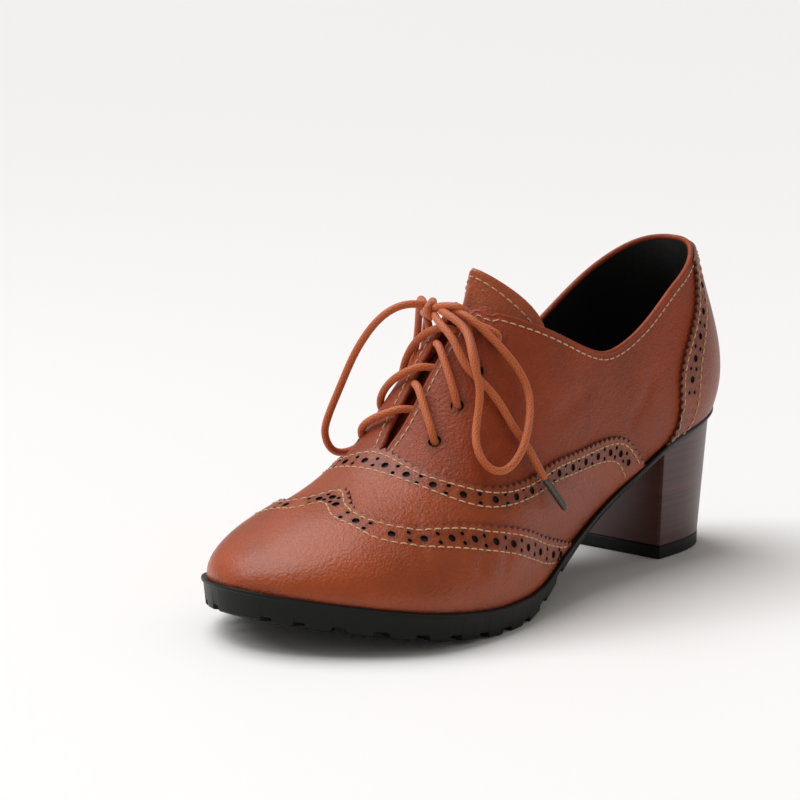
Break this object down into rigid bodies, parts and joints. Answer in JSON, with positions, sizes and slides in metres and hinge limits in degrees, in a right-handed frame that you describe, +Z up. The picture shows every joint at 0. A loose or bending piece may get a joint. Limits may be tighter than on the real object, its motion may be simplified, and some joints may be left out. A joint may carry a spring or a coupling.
{
  "type": "brogue pump",
  "caption": "Left lace-up brogue pump in tan leather with a winged toe cap, a block heel and a lugged black forepart sole.",
  "frame": {"origin": "middle of the bottom of the shoe's box, measured without the bow; the shoe stands on z = 0", "axes": "+X towards the outer side, +Y towards the heel (the toe points to -Y), +Z up"},
  "size_m": [0.09, 0.235, 0.1112],
  "materials": {
    "sole_rubber": "matte",
    "heel_stack": "satin",
    "lift_rubber": "matte",
    "insole_leather": "matte",
    "tan_leather": "glossy",
    "waxed_cord": "satin",
    "aglet_plastic": "satin"
  },
  "bodies": {
    "root": {"outsole": "sole_rubber", "heel": "heel_stack", "top_lift": "lift_rubber", "insole": "insole_leather", "upper": "tan_leather", "vamp": "tan_leather", "toe_cap": "tan_leather", "counter": "tan_leather", "tongue": "tan_leather", "lace_crossing_1": "waxed_cord", "lace_crossing_2": "waxed_cord", "lace_crossing_3": "waxed_cord", "lace_knot": "waxed_cord", "lace_loop_lateral": "waxed_cord", "lace_loop_medial": "waxed_cord", "lace_end_lateral": "waxed_cord", "lace_end_medial": "waxed_cord", "aglet_lateral": "aglet_plastic", "aglet_medial": "aglet_plastic"}
  },
  "joints": []
}
